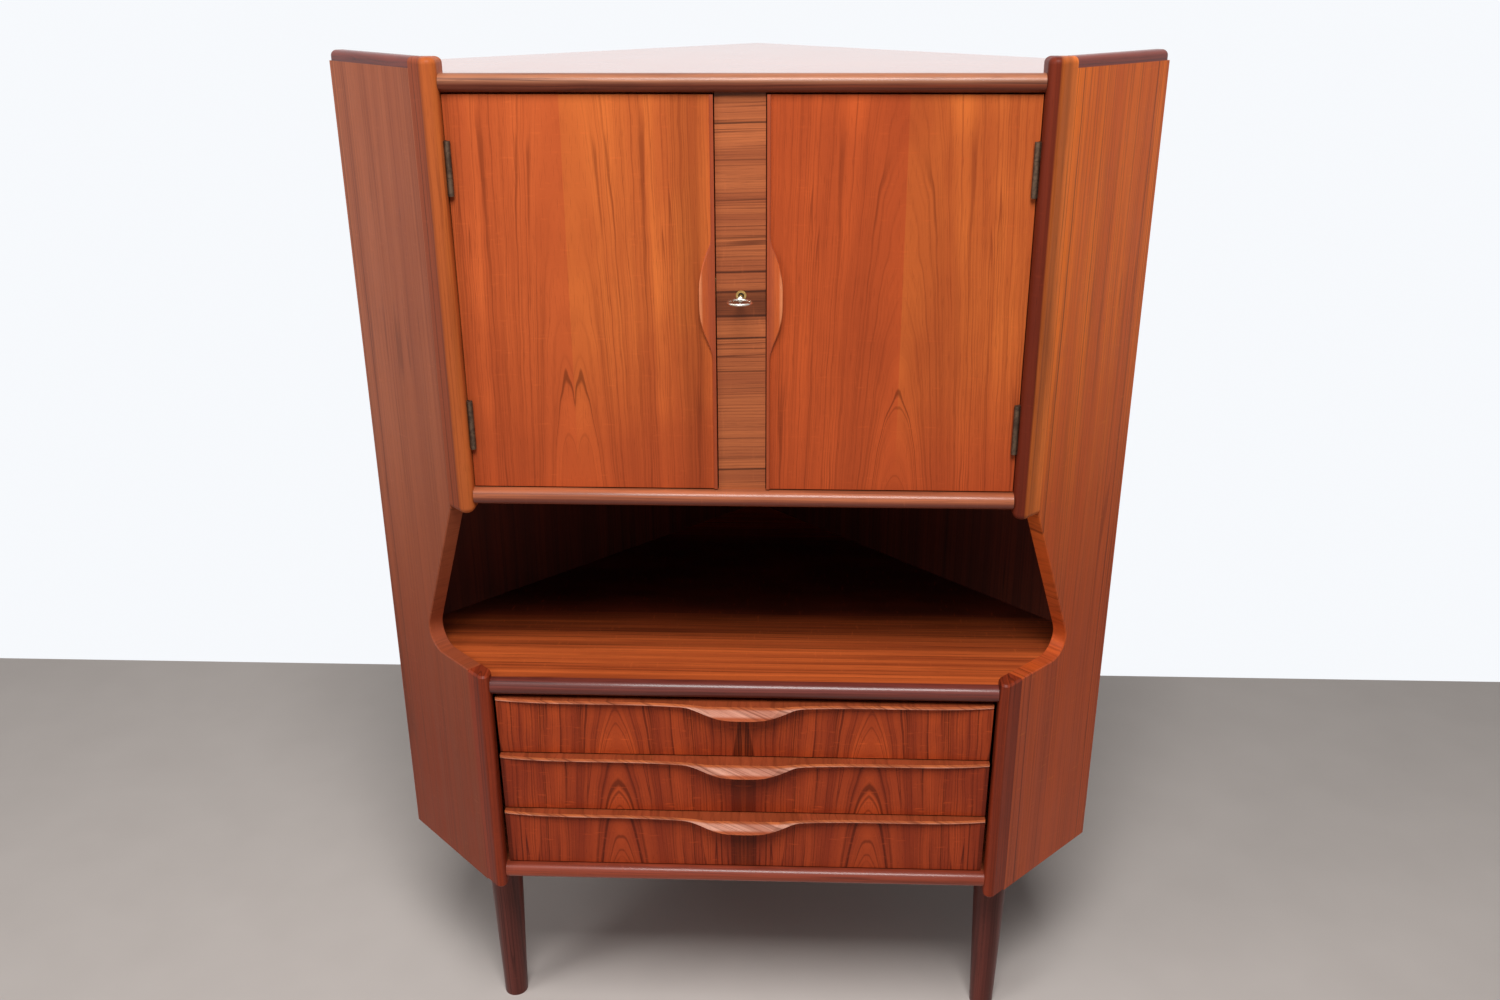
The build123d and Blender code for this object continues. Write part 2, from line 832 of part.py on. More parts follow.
def hinge_leaf(low, face, own_shares, other_shares):
    """Leaf of a butt hinge with its knuckles, cut clear of the other leaf's knuckles."""
    high = low + hinge_height
    block((face, face + leaf_thickness), (hinge_setback, leaf_back), (low, high))
    for start, end in other_shares:
        block(
            (face - overrun, face + leaf_thickness + overrun),
            (hinge_setback - overrun, hinge_setback + knuckle_radius + hinge_gap),
            (
                low + hinge_height * start - hinge_gap / 2,
                low + hinge_height * end + hinge_gap / 2,
            ),
            Mode.SUBTRACT,
        )
    for start, end in own_shares:
        barrel_low = low + hinge_height * start + (hinge_gap / 2 if start > 0 else 0)
        barrel_high = low + hinge_height * end - (hinge_gap / 2 if end < 1 else 0)
        hinge_barrel(knuckle_radius, barrel_low, barrel_high)
    hinge_barrel(pin_radius + pin_clearance, low - overrun, high + overrun, Mode.SUBTRACT)


with BuildPart() as post_leaves:
    for low in hinge_levels:
        hinge_leaf(low, post_leaf_face, outer_shares, middle_shares)
    mirror(about=Plane.YZ)
save(post_leaves.part, "post_hinge_leaves")
with BuildPart() as door_leaves:
    for low in hinge_levels:
        hinge_leaf(low, door_leaf_face, middle_shares, outer_shares)
save_pair(door_leaves.part, "door_hinge_leaves")
with BuildPart() as hinge_pins:
    for low in hinge_levels:
        hinge_barrel(pin_radius, low, low + hinge_height)
    mirror(about=Plane.YZ)
save(hinge_pins.part, "hinge_pins")

# Doors: flat veneered boards, cut back for the hinge leaves
door_low = floor_surface + door_end_gap
door_high = top_underside - door_end_gap
door_back = door_setback + door_thickness
lip_outer = stile_side + door_lip_width
with BuildPart() as right_door_board:
    block(
        (lip_outer, cupboard_half - door_side_gap),
        (door_setback, door_back),
        (door_low, door_high),
    )
    for low in hinge_levels:
        block(
            (door_leaf_face, cupboard_half),
            (door_setback - overrun, leaf_back + hinge_recess_gap),
            (low - hinge_recess_gap, low + hinge_height + hinge_recess_gap),
            Mode.SUBTRACT,
        )

# Carved lips of the doors: each rises from the free edge to a ridge along its swelling
pull_middle = handle_height - door_pull_drop
crest_x = stile_side + door_pull_width + overrun
crest_y = front + door_setback - door_pull_rise
with BuildPart() as right_pull_strip:
    with BuildSketch(Plane.XZ.offset(overrun - crest_y)):
        pull_points = pull_edge(door_pull_half_length, door_pull_width - door_lip_width)
        with BuildLine():
            carved = Spline(
                *[(lip_outer + out, pull_middle + along) for along, out in pull_points],
                tangents=((0, 1), (0, 1)),
            )
            Polyline(
                carved @ 1,
                (lip_outer, door_high),
                (stile_side, door_high),
                (stile_side, door_low),
                (lip_outer, door_low),
                carved @ 0,
            )
        make_face()
    extrude(amount=crest_y - overrun - front - door_back)
    with BuildSketch(Plane.XY.offset(door_low)):
        free_edge = (stile_side, front + door_setback - door_lip_rise)
        with BuildLine():
            SagittaArc(free_edge, (crest_x, crest_y), door_pull_hollow)
            Polyline(
                (crest_x, crest_y),
                (crest_x, crest_y + door_pull_crest),
                (crest_x - door_pull_undercut, front + door_setback),
                (lip_outer, front + door_setback),
                (lip_outer, front + door_back),
                (stile_side, front + door_back),
                free_edge,
            )
        make_face()
    extrude(amount=door_high - door_low, mode=Mode.INTERSECT)
    hollow = faces().filter_by(GeomType.CYLINDER).sort_by(Axis.Y)[0]
    chamfer(hollow.edges().sort_by(Axis.Z)[1:-1].sort_by(Axis.X)[1:], door_pull_bevel)

# Each door and its lip take the mortise for the lock's bolt on their own side
for side, name in ((1, "right"), (-1, "left")):
    for piece, label in ((right_door_board, "door"), (right_pull_strip, "door_pull")):
        with BuildPart() as mortised:
            if side > 0:
                add(piece.part)
            else:
                mirror(piece.part, about=Plane.YZ)
            bolt_path(side, (stile_side - overrun, stile_side + strike_depth), strike_gap)
        save(mortised.part, f"{name}_{label}")

# Shelf in the cupboard, and the pins that it lies on
with BuildPart() as shelf:
    slack = shelf_clearance * root2
    extrude(
        wedge(shelf_level, shelf_setback, inner_wing_line - slack, inner_corner_depth - slack),
        amount=shelf_thickness,
    )
save(shelf.part, "cupboard_shelf")
with BuildPart() as shelf_pins:
    for plane, place in ((wing_inside, wing_pin), (back_inside, back_pin)):
        with BuildSketch(plane.offset(-shelf_pin_reach)):
            with Locations(place):
                Circle(shelf_pin_radius)
        extrude(amount=shelf_pin_reach + shelf_pin_depth)
    mirror(about=Plane.YZ)
save(shelf_pins.part, "shelf_pins")
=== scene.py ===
"""Looks of the corner cabinet: rosewood veneers and solid edges, hinges, lock and key."""

from math import cos, pi, sin

import bmesh
import bpy
from mathutils import Matrix, Vector


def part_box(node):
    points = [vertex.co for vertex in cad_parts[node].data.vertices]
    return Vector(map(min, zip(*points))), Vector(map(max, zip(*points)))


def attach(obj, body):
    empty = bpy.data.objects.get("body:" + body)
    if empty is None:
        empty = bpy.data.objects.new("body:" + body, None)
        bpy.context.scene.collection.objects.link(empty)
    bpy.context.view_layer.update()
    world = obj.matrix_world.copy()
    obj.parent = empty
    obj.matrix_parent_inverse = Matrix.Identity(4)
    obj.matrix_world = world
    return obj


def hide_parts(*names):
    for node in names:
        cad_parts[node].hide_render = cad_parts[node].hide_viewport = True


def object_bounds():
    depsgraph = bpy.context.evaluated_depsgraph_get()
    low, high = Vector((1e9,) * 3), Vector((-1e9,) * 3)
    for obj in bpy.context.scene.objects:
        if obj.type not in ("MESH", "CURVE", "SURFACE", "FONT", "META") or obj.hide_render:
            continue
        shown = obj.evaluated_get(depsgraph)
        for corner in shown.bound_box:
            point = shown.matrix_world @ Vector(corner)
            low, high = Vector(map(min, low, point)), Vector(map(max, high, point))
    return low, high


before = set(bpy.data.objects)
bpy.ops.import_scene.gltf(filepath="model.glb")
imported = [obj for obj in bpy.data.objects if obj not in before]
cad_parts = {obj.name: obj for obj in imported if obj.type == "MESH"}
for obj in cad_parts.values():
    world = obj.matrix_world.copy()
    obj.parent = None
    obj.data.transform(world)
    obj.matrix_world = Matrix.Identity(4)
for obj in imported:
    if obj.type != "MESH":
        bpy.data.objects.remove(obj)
cad_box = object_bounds()


# Wings: 21 mm boards, veneered with rosewood whose grain runs upright. Each one stands at 45
# degrees between the front and the wall, and is cut away in a curve beside the niche. The left
# one is a dull pinkish brown, partly the wood and partly a painted reflection of a window on
# the left, and the right one is redder, with dark pin-stripes. Both are painted darker towards
# the floor, as shade.
class Shade:
    """A socket in a material's nodes. Sums on it add Math nodes, and node() adds any other."""

    def __init__(self, material, socket=None):
        self.material = material
        self.socket = socket

    def node(self, kind, settings, inputs, output=0):
        made = self.material.node_tree.nodes.new(kind)
        for name, value in settings.items():
            if name == "stops":
                elements = made.color_ramp.elements
                while len(elements) < len(value):
                    elements.new(1)
                for element, (position, colour) in zip(elements, value):
                    element.position = position
                    element.color = (*colour, 1)
            else:
                setattr(made, name, value)
        for name, value in inputs.items():
            if isinstance(value, Shade):
                self.material.node_tree.links.new(value.socket, made.inputs[name])
            else:
                made.inputs[name].default_value = value
        return Shade(self.material, made.outputs[output])

    def math(self, operation, *values):
        return self.node("ShaderNodeMath", {"operation": operation}, dict(enumerate(values)))

    def __add__(self, other):
        return self.math("ADD", self, other)

    def __radd__(self, other):
        return self.math("ADD", other, self)

    def __sub__(self, other):
        return self.math("SUBTRACT", self, other)

    def __rsub__(self, other):
        return self.math("SUBTRACT", other, self)

    def __mul__(self, other):
        return self.math("MULTIPLY", self, other)

    def __truediv__(self, other):
        return self.math("DIVIDE", self, other)

    def __pow__(self, other):
        return self.math("POWER", self, other)

    def __abs__(self):
        return self.math("ABSOLUTE", self)


def tint(red, green, blue):
    """Linear colour of a shade given as it looks on a screen, 0 to 255."""
    shares = (red / 255, green / 255, blue / 255)
    return tuple(s / 12.92 if s <= 0.04045 else ((s + 0.055) / 1.055) ** 2.4 for s in shares)


def along_direction(place, direction):
    """How far a point lies along a direction."""
    settings = {"operation": "DOT_PRODUCT"}
    return place.node("ShaderNodeVectorMath", settings, {0: place, 1: direction}, "Value")


def grain_noise(u, v, w, detail=2.0, roughness=0.5):
    """Noise from 0 to 1 whose blotches have the size of 1 in the three given lengths."""
    vector = u.node("ShaderNodeCombineXYZ", {}, {"X": u, "Y": v, "Z": w})
    inputs = {"Vector": vector, "Scale": 1.0, "Detail": detail, "Roughness": roughness}
    return u.node("ShaderNodeTexNoise", {"noise_dimensions": "3D"}, inputs)


def between(value, low, high):
    """0 below low, 1 above high, and a smooth step between them."""
    settings = {"interpolation_type": "SMOOTHSTEP"}
    return value.node(
        "ShaderNodeMapRange", settings, {"Value": value, "From Min": low, "From Max": high}
    )


def mixed(share, first, second):
    """Colour between two colours."""
    settings = {"data_type": "RGBA", "clamp_factor": True}
    first = first if isinstance(first, Shade) else (*first, 1)
    second = second if isinstance(second, Shade) else (*second, 1)
    return share.node("ShaderNodeMix", settings, {0: share, 6: first, 7: second}, 2)


def new_material(name):
    """Empty material, its shader, and the place on the piece that its patterns read."""
    material = bpy.data.materials.new(name)
    material.use_nodes = True
    shader = material.node_tree.nodes["Principled BSDF"]
    place = Shade(material).node("ShaderNodeTexCoord", {}, {}, "Object")
    return material, shader, place


def join(shade, shader, name):
    """Lead a pattern into one of the shader's sockets."""
    shade.material.node_tree.links.new(shade.socket, shader.inputs[name])


def wood(
    name,
    pale,
    deep,
    across,
    along,
    middle=0.0,
    leaf=None,
    beyond_middle=None,
    fade=0.0004,
    zones=(),
    facing=None,
    flame=None,
    lines=(),
    wedge=None,
    fine=0.0026,
    bands=0.6,
    strength=0.6,
    clouds=0.2,
    flecks=0.14,
    seed=0.0,
    roughness=0.42,
    gloss=0.2,
    coat=0.0,
):
    """Lacquered wood whose grain runs along one direction, with its lines across the other.

    middle is the place across the grain from which the figure is laid out. leaf is the width
    of book-matched veneer leaves laid out from the middle. beyond_middle is the pale colour
    beyond the middle, and fade is half the width of the change to it: the other leaf on the
    doors, and a painted split of light and shade on the posts and the top's nose. zones are
    colours on the near side of a level, painted shade and painted highlight on several pieces:
    a direction, the level along it, half the width of the change, and the colour. facing is a
    direction and the colour of faces that look that way, painted shade on the drawer lips' tops.
    flame is the heart of an arched figure: its distance from the middle, the height where its
    arches peak, how fast they spread, and its room below. lines are dark lines, partly painted
    shade on the worktop and the stile: where across the grain, how wide and how strong. wedge
    is a dark band at the middle: its half width, how fast it widens downwards, and the height of
    that width. fine is the spacing of the narrow lines. bands, strength, clouds and flecks say
    how much the broad bands, the lines, the dark clouds and the bright flecks, a painted sheen,
    show. seed shifts the broad pattern, so that two boards differ. gloss is the specular level
    of the lacquer.
    """
    material, shader, place = new_material(name)
    through = Vector(along).cross(Vector(across))
    raw = along_direction(place, across) - middle
    v = along_direction(place, along)
    w = along_direction(place, tuple(through))
    u = raw.math("PINGPONG", raw, leaf) if leaf else raw
    # Slow bends of the grain, small wobbles on them, and arches in place of lines in a flame
    waver = grain_noise(u * 7, v * 1.8, w * 7, detail=1.0) - 0.5
    wobble = grain_noise(u * 45, v * 16, w * 45, detail=1.0) - 0.5
    ring = u + waver * 0.008 + wobble * 0.0016
    calm = 1.0
    if flame:
        centre, peak, spread, room = flame
        offset = abs(u - centre) + waver * 0.008
        calm = between(offset, -0.012, 0.040)
        rise = v - peak + room + waver * 0.03
        height = rise.math("MAXIMUM", rise, 0.0)
        ring = (offset * offset + height * spread**2) ** 0.5 + wobble * 0.0045
    # Broad bands, narrow lines and sparse single lines, all along the rings
    broad = grain_noise(ring / 0.017, v * 0.5 + seed, w * 5, detail=1.0)
    narrow = grain_noise(ring / fine, v * 2.6, w * 14, detail=3.0, roughness=0.62)
    sparse = abs(grain_noise(ring / 0.009 + 17.0, v * 1.1, w * 9, detail=0.0) - 0.5)
    line = tuple(channel * 0.42 for channel in deep)
    ink = tuple(channel * 0.14 for channel in deep)
    # Ground colour: the two sides of the middle, the zones and the faces that look another way;
    # on some pieces these are painted light and painted shade
    base = pale
    if beyond_middle:
        base = mixed(between(raw, -fade, fade), pale, beyond_middle)
    for direction, level, width, near in zones:
        reach = along_direction(place, direction)
        base = mixed(between(reach, level - width, level + width), near, base)
    if facing:
        direction, colour = facing
        normal = place.node("ShaderNodeTexCoord", {}, {}, "Normal")
        base = mixed(between(along_direction(normal, direction), 0.80, 0.95), base, colour)
    # Bands, lines, single dark streaks and the wedge, laid over the ground
    colour = mixed(between(broad, 0.30, 0.70) * bands, base, deep)
    colour = mixed(between(narrow, 0.44, 0.74) * strength * calm, colour, line)
    patches = grain_noise(u * 7, v * 5, w * 7, detail=2.0)
    traces = (1 - between(sparse, 0.004, 0.022)) * between(patches, 0.42, 0.62)
    colour = mixed(traces * strength * calm, colour, line)
    for position, width, depth in lines:
        streak = 1 - between(abs(ring - position), width * 0.2, width)
        colour = mixed(streak * depth * (0.4 + narrow * 0.9), colour, ink)
    if wedge:
        half, widening, level = wedge
        inside = 1 - between(u + (v - level) * widening + waver * 0.004, half - 0.003, half)
        colour = mixed(inside * (0.25 + narrow * 0.75), colour, ink)
    # Bright flecks across the grain as painted sheen, dark clouds, fine pores and scuffed lacquer
    spots = grain_noise(u / 0.020, v / 0.0042, w / 0.02, detail=1.0)
    glow = tuple(min(channel * 1.5, 0.9) for channel in pale)
    colour = mixed(between(spots, 0.62, 0.85) * flecks, colour, glow)
    cloud = grain_noise(u * 16 + 5.0, v * 6 + seed, w * 16, detail=2.0)
    colour = mixed(between(cloud, 0.42, 0.72) * clouds, colour, deep)
    pores = between(grain_noise(u * 1500, v * 45, w * 1500, detail=1.0), 0.60, 0.74)
    colour = mixed(pores * 0.30, colour, line)
    scuffs = grain_noise(u * 22, v * 16, w * 22, detail=4.0)
    join(colour, shader, "Base Color")
    join(roughness - 0.06 + scuffs * 0.12, shader, "Roughness")
    relief = 1 - pores * 0.6 - narrow * 0.3
    inputs = {"Height": relief, "Strength": 0.18, "Distance": 0.0003}
    join(relief.node("ShaderNodeBump", {}, inputs), shader, "Normal")
    shader.inputs["Specular IOR Level"].default_value = gloss
    shader.inputs["Coat Weight"].default_value = coat
    shader.inputs["Coat Roughness"].default_value = 0.14
    return material


def finish(material, *names):
    """Give CAD pieces their material."""
    for name in names:
        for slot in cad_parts[name].material_slots:
            slot.material = material


half_root = 0.5 ** 0.5
left_rearward = (-half_root, half_root, 0)
right_rearward = (half_root, half_root, 0)
upward = (0, 0, 1)
rightward = (1, 0, 0)
rearward = (0, 1, 0)
key_reach = 0.031
front_y = cad_box[0][1] + key_reach
wing_start = 0.3422
nose_along_wing = (wing_start + front_y) * half_root
left_wing_veneer = wood(
    "left_wing_veneer",
    # Pale pinkish ground: partly the wood, partly a painted reflection of a window
    tint(170, 94, 62),
    tint(136, 68, 44),
    left_rearward,
    upward,
    middle=nose_along_wing,
    # Painted shade: darker below about 0.7 m
    zones=((upward, 0.70, 0.30, tint(137, 54, 26)),),
    lines=((0.0285, 0.0008, 0.4), (0.186, 0.0016, 0.4), (0.206, 0.0014, 0.5)),
    bands=0.5,
    strength=0.4,
    gloss=0.14,
)
right_wing_veneer = wood(
    "right_wing_veneer",
    tint(238, 119, 31),
    tint(192, 80, 30),
    right_rearward,
    upward,
    middle=nose_along_wing,
    # Painted shade: darker below about 0.9 m
    zones=((upward, 0.88, 0.30, tint(173, 73, 36)),),
    lines=(
        (0.0285, 0.0008, 0.7),
        (0.041, 0.0014, 0.9),
        (0.087, 0.0008, 0.6),
        (0.190, 0.0012, 0.9),
        (0.196, 0.0008, 0.6),
        (0.207, 0.0008, 0.5),
    ),
    bands=0.7,
    strength=0.6,
)
finish(left_wing_veneer, "left_wing")
finish(right_wing_veneer, "right_wing")

# Solid edges: the rounded lippings along the wings' tops, the domed posts beside the doors and
# the slimmer lippings beside the drawers, all of solid rosewood glued to the boards' edges.
left_post_wood = wood(
    "left_post_wood",
    # The darker colour left of the middle is painted shade on the post's 45-degree side; the
    # colour beyond the middle is the painted lit front
    tint(156, 76, 45),
    tint(136, 62, 36),
    rightward,
    upward,
    middle=-0.3450,
    beyond_middle=tint(202, 106, 48),
    fade=0.0015,
    lines=((-0.0100, 0.0010, 0.7), (-0.0012, 0.0016, 0.35)),
    strength=0.35,
    gloss=0.1,
)
right_post_wood = wood(
    "right_post_wood",
    # The dark colour left of the middle is painted shade on the post's front-left side, and the
    # bright orange beyond it is a painted highlight on the nose
    tint(130, 50, 28),
    tint(74, 26, 17),
    rightward,
    upward,
    middle=0.3405,
    beyond_middle=tint(250, 132, 58),
    fade=0.0015,
    strength=0.35,
    gloss=0.1,
)
front_lipping_wood = wood(
    "front_lipping_wood",
    tint(144, 54, 27),
    tint(88, 30, 18),
    rightward,
    upward,
    gloss=0.15,
)
wing_edge_wood = wood(
    "wing_edge_wood",
    tint(122, 46, 30),
    tint(76, 26, 20),
    upward,
    right_rearward,
    roughness=0.34,
    coat=0.2,
)
finish(left_post_wood, "left_post")
finish(right_post_wood, "right_post")
finish(front_lipping_wood, "left_front_lipping", "right_front_lipping")
finish(wing_edge_wood, "left_wing_top_lipping", "right_wing_top_lipping")

# Top board: veneered with the grain along the front, and lipped with a round solid nose whose
# upper half is painted pale, a painted reflection of the sky, and whose lower half is painted
# dark as shade.
top_veneer = wood(
    "top_veneer",
    tint(198, 118, 84),
    tint(168, 90, 62),
    rearward,
    rightward,
    strength=0.3,
    roughness=0.34,
    gloss=0.5,
    coat=1.0,
)
top_nose_middle = 1.3385
top_edge_wood = wood(
    "top_edge_wood",
    tint(120, 54, 32),
    tint(90, 36, 22),
    upward,
    rightward,
    # Pale above the nose's middle height as painted reflection, dark below it as painted shade
    middle=top_nose_middle,
    beyond_middle=tint(168, 106, 74),
    fade=0.003,
    lines=((0.0, 0.0040, 0.45),),
    fine=0.0022,
    strength=0.8,
    roughness=0.36,
    coat=0.15,
)
finish(top_veneer, "top_board")
finish(top_edge_wood, "top_lipping")

# Worktop of the niche: veneered like the top, with dark bands along it, the broad one behind the
# front strip being painted shadow under the cupboard floor, and a deep plum nose, partly the
# dark wood and partly a painted reflection.
worktop_veneer = wood(
    "worktop_veneer",
    tint(196, 92, 42),
    tint(120, 44, 20),
    rearward,
    rightward,
    middle=front_y,
    # The last, broad band is painted shadow under the cupboard floor; the narrow ones are figure
    lines=((0.105, 0.006, 0.4), (0.150, 0.016, 0.5), (0.215, 0.020, 0.8), (0.33, 0.27, 1.5)),
    gloss=0.3,
)
worktop_edge_wood = wood(
    "worktop_edge_wood",
    # Plum tone: partly the dark wood, partly a painted reflection
    tint(116, 52, 42),
    tint(70, 27, 24),
    upward,
    rightward,
    fine=0.0022,
    roughness=0.36,
    coat=0.3,
)
finish(worktop_veneer, "worktop")
finish(worktop_edge_wood, "worktop_lipping")

# Lippings of the cupboard floor and of the base board: round noses of solid rosewood, glued on.
# That of the cupboard floor has a pale upper half, a painted highlight, and a darker lower one,
# painted shade.
floor_nose_middle = 0.856
floor_edge_wood = wood(
    "floor_edge_wood",
    tint(176, 100, 64),
    tint(110, 50, 34),
    upward,
    rightward,
    # Painted shade below the nose's middle height; the pale colour above it is a painted
    # highlight
    zones=((upward, floor_nose_middle, 0.003, tint(122, 62, 46)),),
    fine=0.0022,
    roughness=0.36,
    coat=0.2,
)
base_edge_wood = wood(
    "base_edge_wood",
    tint(154, 68, 43),
    tint(108, 42, 28),
    upward,
    rightward,
    fine=0.0022,
    roughness=0.36,
    coat=0.2,
)
finish(floor_edge_wood, "cupboard_floor_lipping")
finish(base_edge_wood, "base_lipping")

# Back panels, cupboard floor, base board, shelf and stop strip: the same veneer, left thin and
# matt where it is seldom seen, with its grain upright on the panels. The panels' inner faces are
# painted much darker, as painted shade deep in the niche. Their outer faces, which stand against
# the wall, were never stained and are paler.
bare_veneer = tint(196, 136, 92)
left_back_veneer = wood(
    "left_back_veneer",
    # Painted shade: much darker than the other hidden veneer
    tint(96, 40, 24),
    tint(58, 22, 14),
    right_rearward,
    upward,
    facing=(left_rearward, bare_veneer),
    roughness=0.55,
)
right_back_veneer = wood(
    "right_back_veneer",
    # Painted shade: much darker than the other hidden veneer
    tint(96, 40, 24),
    tint(58, 22, 14),
    left_rearward,
    upward,
    facing=(right_rearward, bare_veneer),
    roughness=0.55,
)
hidden_board_veneer = wood(
    "hidden_board_veneer",
    tint(150, 72, 40),
    tint(92, 38, 22),
    rearward,
    rightward,
    roughness=0.55,
)
finish(left_back_veneer, "left_back_panel")
finish(right_back_veneer, "right_back_panel")
finish(hidden_board_veneer, "cupboard_floor", "base_board", "stop_strip", "cupboard_shelf")

# Legs: turned from solid rosewood and tapered to the floor, stained darker than the case.
leg_wood = wood(
    "leg_wood",
    tint(112, 54, 45),
    tint(58, 23, 20),
    rightward,
    upward,
    roughness=0.36,
    gloss=0.15,
    coat=0.12,
)
finish(leg_wood, "left_leg", "right_leg", "rear_leg")

# Partitions, runners and drawer boxes: planed hardwood, waxed and never stained, with thin
# plywood for the drawers' bottoms.
box_wood = wood(
    "box_wood",
    tint(206, 170, 120),
    tint(176, 134, 86),
    upward,
    rearward,
    strength=0.2,
    roughness=0.6,
)
ply_wood = wood(
    "ply_wood",
    tint(210, 178, 130),
    tint(182, 144, 98),
    rearward,
    rightward,
    strength=0.15,
    roughness=0.65,
)
finish(box_wood, "left_partition", "right_partition", "drawer_runners")
for drawer in ("top", "middle", "bottom"):
    for piece in ("left_side", "right_side", "back"):
        finish(box_wood, f"{drawer}_drawer_{piece}")
    finish(ply_wood, f"{drawer}_drawer_bottom")

# Drawer fronts: dark figured veneer in four upright leaves, matched like a book's pages, with
# a dark wedge in the middle and flames between. Each has a solid lip carved into a pull.
drawer_leaf = 0.1675
# Each drawer's flame peak, darkest arch, wedge and pale colour; the pale colours are painted
# darker drawer by drawer downwards, as shade
drawer_figures = {
    "top": (0.556, 0.0440, (0.008, 0.16, 0.540), tint(198, 82, 36)),
    "middle": (0.430, 0.0250, (0.0185, 0.0, 0.450), tint(184, 74, 34)),
    "bottom": (0.358, 0.0310, (0.0195, 0.0, 0.350), tint(176, 70, 33)),
}
for drawer, (peak, contour, wedge, pale) in drawer_figures.items():
    veneer = wood(
        f"{drawer}_drawer_veneer",
        pale,
        tint(120, 40, 23),
        rightward,
        upward,
        leaf=drawer_leaf,
        flame=(drawer_leaf, peak, 0.085, 0.07),
        lines=(
            (contour, 0.0018, 0.8),
            (contour + 0.006, 0.0012, 0.6),
            (0.0222, 0.0008, 0.55),
            (0.0180, 0.0006, 0.4),
            (0.075, 0.0012, 0.5),
            (0.103, 0.0014, 0.7),
            (0.140, 0.0012, 0.6),
        ),
        wedge=wedge,
        strength=0.8,
        clouds=0.5,
        flecks=0.4,
        gloss=0.12,
    )
    lip_bottom, lip_top = (corner[2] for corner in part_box(f"{drawer}_drawer_lip"))
    lip_wood = wood(
        f"{drawer}_drawer_lip_wood",
        tint(212, 112, 60),
        tint(156, 70, 40),
        (0.45, 0, 1),
        rightward,
        # Painted reflection: the pale pink band on the pull's lens, below the lip's top edge
        zones=(
            (upward, lip_top - 0.004, 0.002, tint(242, 178, 154)),
            (upward, lip_bottom + 0.005, 0.002, tint(188, 96, 56)),
        ),
        # Painted shade on the lip's flat top, which faces up under the part above it
        facing=(upward, tint(132, 60, 32)),
        fine=0.0030,
        strength=0.7,
        roughness=0.34,
        coat=0.12,
    )
    finish(veneer, f"{drawer}_drawer_front")
    finish(lip_wood, f"{drawer}_drawer_lip")

# Centre stile: short blocks of veneer with their grain across, a dark one behind the key, and
# painted shadow along its top, under the top board.
stile_veneer = wood(
    "stile_veneer",
    tint(178, 98, 57),
    tint(130, 63, 38),
    (-0.03, 0, 1),
    rightward,
    middle=0.0,
    lines=(
        # Painted shadow along the stile's top, under the top board
        (1.3270, 0.0045, 0.9),
        (1.2960, 0.0016, 1.0),
        (1.2570, 0.0010, 0.6),
        (1.2140, 0.0010, 0.5),
        (1.1720, 0.0013, 0.7),
        (1.1500, 0.0010, 0.5),
        (1.1320, 0.0019, 1.0),
        (1.1080, 0.0021, 1.0),
        (1.0945, 0.0240, 0.85),
        (1.0810, 0.0024, 1.0),
        (1.0550, 0.0018, 1.0),
        (1.0430, 0.0010, 0.6),
        (1.0150, 0.0013, 0.7),
        (0.9940, 0.0010, 0.5),
        (0.9300, 0.0010, 0.5),
        (0.9050, 0.0010, 0.6),
        (0.8910, 0.0018, 1.0),
    ),
    fine=0.0020,
    strength=0.8,
)
finish(stile_veneer, "centre_stile")

# Doors: upright veneer in two matched leaves each, warm orange, with a flame low in the middle
# that is split in two on the left door, and painted a little darker towards the bottom as
# shade. A carved lip swells into a pull beside the key, its ridge painted bright as a highlight
# and its hollow dark as shade.
left_door_veneer = wood(
    "left_door_veneer",
    tint(197, 93, 46),
    tint(150, 62, 31),
    rightward,
    upward,
    middle=-0.198,
    leaf=0.4,
    beyond_middle=tint(208, 108, 50),
    # Painted shade: a little darker below about 1 m
    zones=((upward, 0.98, 0.12, tint(189, 83, 40)),),
    flame=(0.009, 1.012, 0.057, 0.16),
    lines=((0.0228, 0.0004, 0.6), (0.0160, 0.0004, 0.2), (0.135, 0.028, 0.35)),
    fine=0.0017,
    bands=0.5,
    strength=0.5,
    clouds=0.4,
    seed=7.0,
    gloss=0.12,
)
right_door_veneer = wood(
    "right_door_veneer",
    tint(189, 83, 39),
    tint(144, 58, 29),
    rightward,
    upward,
    middle=0.184,
    leaf=0.4,
    beyond_middle=tint(201, 103, 46),
    # Painted shade: a little darker below about 1 m
    zones=((upward, 0.98, 0.12, tint(183, 78, 37)),),
    flame=(0.0, 0.993, 0.08, 0.14),
    lines=((0.0300, 0.0005, 0.7), (0.0285, 0.0004, 0.4), (0.0150, 0.0004, 0.2)),
    fine=0.0017,
    bands=0.5,
    strength=0.5,
    clouds=0.4,
    gloss=0.12,
)
pull_wood = wood(
    "pull_wood",
    tint(160, 70, 35),
    tint(140, 58, 30),
    rightward,
    upward,
    # Painted highlight on the foremost parts, the ridges, and painted shade on the parts further
    # back, in the hollows
    zones=(
        (rearward, front_y + 0.0110, 0.0012, tint(200, 94, 40)),
        (rearward, front_y + 0.0086, 0.0006, tint(244, 150, 98)),
    ),
    fine=0.0016,
    bands=0.3,
    strength=0.3,
    roughness=0.36,
    coat=0.2,
)
finish(left_door_veneer, "left_door")
finish(right_door_veneer, "right_door")
finish(pull_wood, "left_door_pull", "right_door_pull")


